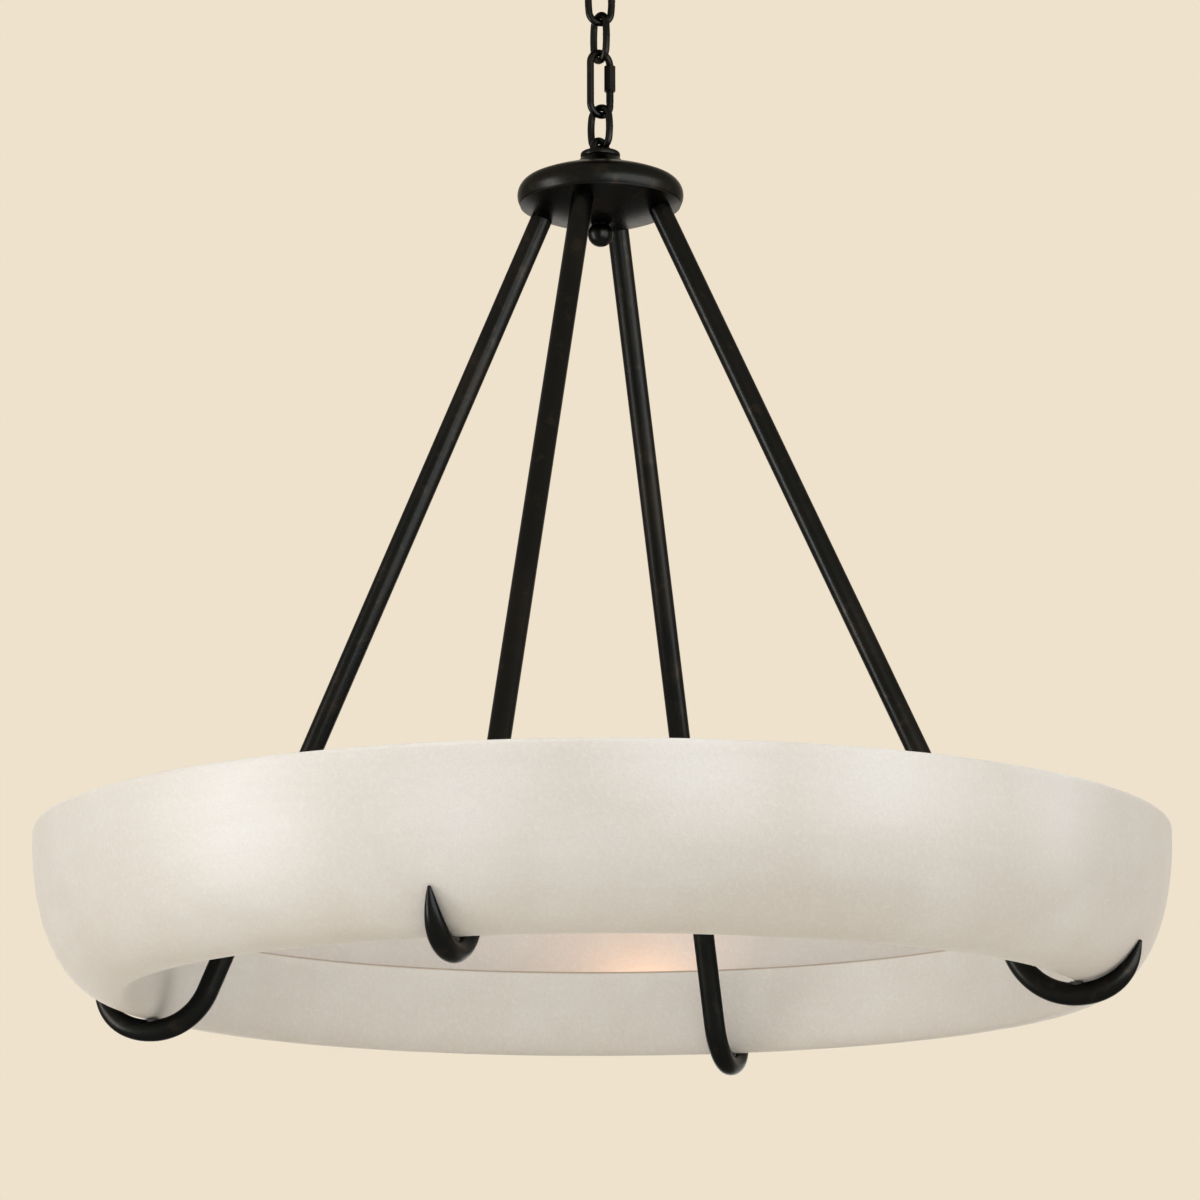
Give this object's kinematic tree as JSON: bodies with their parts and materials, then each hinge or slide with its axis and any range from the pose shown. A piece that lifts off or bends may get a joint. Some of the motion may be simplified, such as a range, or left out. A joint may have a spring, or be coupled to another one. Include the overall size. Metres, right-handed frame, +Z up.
{
  "type": "ring chandelier",
  "caption": "Ceiling chandelier: an open-topped alabaster ring with lamps inside, held by hooked dark arms from a round hub on a short chain and canopy.",
  "frame": {"origin": "on the chandelier's axis in the ceiling plane, at the middle of the strap's two screw slots", "axes": "+Z up into the ceiling, +X along the ceiling strap, -Y towards the viewer of the picture"},
  "size_m": [0.9144, 0.9144, 0.9268],
  "materials": {
    "alabaster": "honed, softly clouded, translucent",
    "dark_bronze": "satin blackened bronze",
    "plated_steel": "zinc plated",
    "green_screw": "green earth screw",
    "white_enamel": "white enamel",
    "porcelain": "unglazed white",
    "pad_rubber": "matt black",
    "brass_cap": "plain",
    "bulb_glass": "frosted warm white"
  },
  "bodies": {
    "ceiling_fitting": {"ceiling_strap": "plated_steel", "ground_screw": "green_screw", "ceiling_nipple": "plated_steel", "nipple_lock_nut": "plated_steel", "ceiling_loop": "dark_bronze"},
    "canopy_set": {"canopy": "dark_bronze", "canopy_collar": "dark_bronze"},
    "upper_link": {"chain_link_1": "dark_bronze"},
    "second_link": {"chain_link_2": "dark_bronze"},
    "quick_link_body": {"quick_link": "dark_bronze"},
    "sleeve_nut": {"quick_link_sleeve": "dark_bronze"},
    "lower_link": {"chain_link_3": "dark_bronze"},
    "fixture": {"hub_loop": "dark_bronze", "hub_collar": "dark_bronze", "hub_body": "dark_bronze", "hub_cover": "dark_bronze", "hub_nipple": "plated_steel", "hub_nut": "plated_steel", "finial": "dark_bronze", "arm_nuts": "plated_steel", "arm_neck_1": "dark_bronze", "arm_tube_1": "dark_bronze", "hook_1": "dark_bronze", "hook_pad_1": "pad_rubber", "arm_neck_2": "dark_bronze", "arm_tube_2": "dark_bronze", "hook_2": "dark_bronze", "hook_pad_2": "pad_rubber", "arm_neck_3": "dark_bronze", "arm_tube_3": "dark_bronze", "hook_3": "dark_bronze", "hook_pad_3": "pad_rubber", "arm_neck_4": "dark_bronze", "arm_tube_4": "dark_bronze", "hook_4": "dark_bronze", "hook_pad_4": "pad_rubber", "alabaster_ring": "alabaster", "lamp_tray": "white_enamel", "feed_conduit": "white_enamel", "lampholders": "porcelain", "lamp_brackets": "white_enamel", "bracket_screws": "plated_steel", "holder_nuts": "plated_steel"},
    "bulb_1": {"bulb_cap_1": "brass_cap", "bulb_glass_1": "bulb_glass"},
    "bulb_2": {"bulb_cap_2": "brass_cap", "bulb_glass_2": "bulb_glass"},
    "bulb_3": {"bulb_cap_3": "brass_cap", "bulb_glass_3": "bulb_glass"},
    "bulb_4": {"bulb_cap_4": "brass_cap", "bulb_glass_4": "bulb_glass"},
    "bulb_5": {"bulb_cap_5": "brass_cap", "bulb_glass_5": "bulb_glass"},
    "bulb_6": {"bulb_cap_6": "brass_cap", "bulb_glass_6": "bulb_glass"}
  },
  "joints": [
    {"name": "canopy_drop", "type": "slide", "parent": "ceiling_fitting", "child": "canopy_set", "axis": [0, 0, 1], "range_m": [-0.01, 0]},
    {"name": "upper_link_swing", "type": "hinge", "parent": "ceiling_fitting", "child": "upper_link", "pos_m": [0, 0, -0.055], "axis": [0.2419, -0.9703, 0], "range_deg": [-30, 30]},
    {"name": "second_link_swing", "type": "hinge", "parent": "upper_link", "child": "second_link", "pos_m": [0, 0, -0.0877], "axis": [0.9703, 0.2419, 0], "range_deg": [-30, 30]},
    {"name": "quick_link_swing", "type": "hinge", "parent": "second_link", "child": "quick_link_body", "pos_m": [0, 0, -0.1204], "axis": [-0.5299, 0.848, 0], "range_deg": [-30, 30]},
    {"name": "sleeve_travel", "type": "slide", "parent": "quick_link_body", "child": "sleeve_nut", "axis": [0, 0, 1], "range_m": [-0.012, 0]},
    {"name": "lower_link_swing", "type": "hinge", "parent": "quick_link_body", "child": "lower_link", "pos_m": [0, 0, -0.1681], "axis": [-0.848, -0.5299, 0], "range_deg": [-30, 30]},
    {"name": "fixture_swing", "type": "hinge", "parent": "lower_link", "child": "fixture", "pos_m": [0, 0, -0.1968], "axis": [0.766, -0.6428, 0], "range_deg": [-30, 30]},
    {"name": "bulb_1_out", "type": "slide", "parent": "fixture", "child": "bulb_1", "axis": [0.997, -0.0768, 0], "range_m": [0, 0.022]},
    {"name": "bulb_2_out", "type": "slide", "parent": "fixture", "child": "bulb_2", "axis": [0.565, 0.8251, 0], "range_m": [0, 0.022]},
    {"name": "bulb_3_out", "type": "slide", "parent": "fixture", "child": "bulb_3", "axis": [-0.432, 0.9019, 0], "range_m": [0, 0.022]},
    {"name": "bulb_4_out", "type": "slide", "parent": "fixture", "child": "bulb_4", "axis": [-0.997, 0.0768, 0], "range_m": [0, 0.022]},
    {"name": "bulb_5_out", "type": "slide", "parent": "fixture", "child": "bulb_5", "axis": [-0.565, -0.8251, 0], "range_m": [0, 0.022]},
    {"name": "bulb_6_out", "type": "slide", "parent": "fixture", "child": "bulb_6", "axis": [0.432, -0.9019, 0], "range_m": [0, 0.022]}
  ]
}
